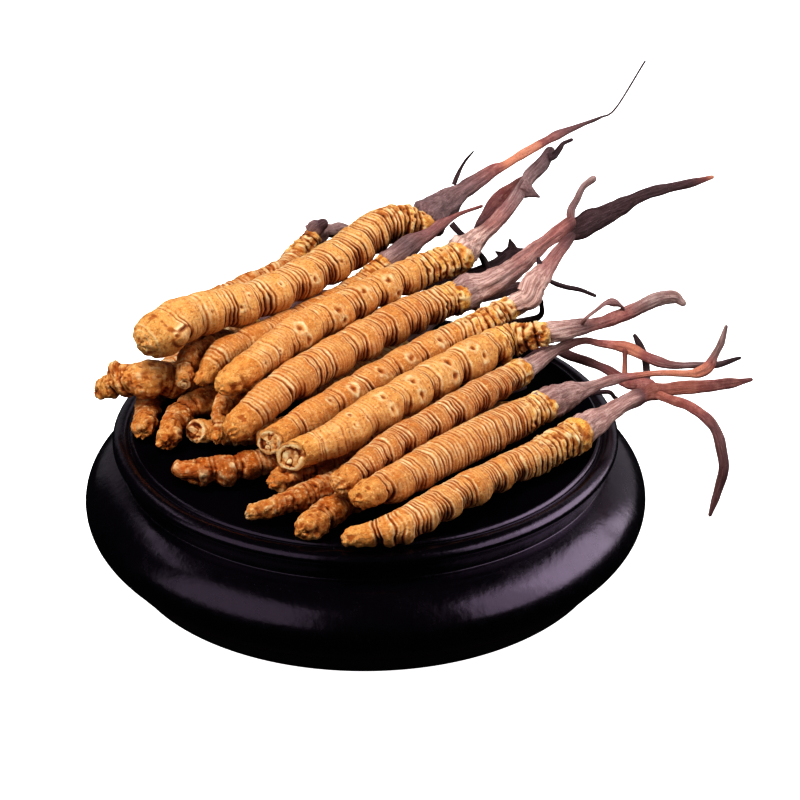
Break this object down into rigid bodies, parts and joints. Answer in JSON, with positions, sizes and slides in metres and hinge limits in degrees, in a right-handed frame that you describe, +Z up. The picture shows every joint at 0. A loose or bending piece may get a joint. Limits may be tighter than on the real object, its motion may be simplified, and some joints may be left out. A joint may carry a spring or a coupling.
{
  "type": "cordyceps bundle",
  "caption": "Heap of dried cordyceps fungus, ringed golden larvae with dark antler-like stalks, lying all one way on a low round black lacquered turned wooden stand",
  "frame": {"origin": "centre of the stand's flat underside", "axes": "+Z up; +X to the right and +Y away from a viewer at the pictured side; the larvae's heads point to +X +Y"},
  "size_m": [0.1066, 0.1175, 0.0535],
  "materials": {
    "larva": "dry, wrinkled, matt to waxy",
    "stalk": "dry fibrous matt",
    "lacquer": "black gloss lacquer"
  },
  "bodies": {
    "root": {"larva_01": "larva", "larva_02": "larva", "larva_03": "larva", "larva_04": "larva", "larva_05": "larva", "larva_06": "larva", "larva_07": "larva", "larva_08": "larva", "larva_09": "larva", "larva_10": "larva", "larva_11": "larva", "larva_12": "larva", "larva_13": "larva", "larva_14": "larva", "larva_15": "larva", "larva_16": "larva", "larva_17": "larva", "larva_18": "larva", "larva_19": "larva", "larva_20": "larva", "stalk_01": "stalk", "stalk_01_prong": "stalk", "stalk_02": "stalk", "stalk_03": "stalk", "stalk_04": "stalk", "stalk_04_loop": "stalk", "stalk_05": "stalk", "stalk_05_needle": "stalk", "stalk_06": "stalk", "stalk_06_blade": "stalk", "stalk_06_twig": "stalk", "stalk_07": "stalk", "stalk_07_blade": "stalk", "stalk_08": "stalk", "stalk_09": "stalk", "stalk_10": "stalk", "stalk_11": "stalk", "stalk_12": "stalk", "stalk_13": "stalk", "stalk_13_leaf": "stalk", "stalk_14": "stalk", "stalk_15": "stalk", "stalk_16": "stalk", "stalk_17": "stalk", "stalk_18": "stalk", "stalk_19": "stalk", "stalk_20": "stalk", "stand": "lacquer"}
  },
  "joints": []
}
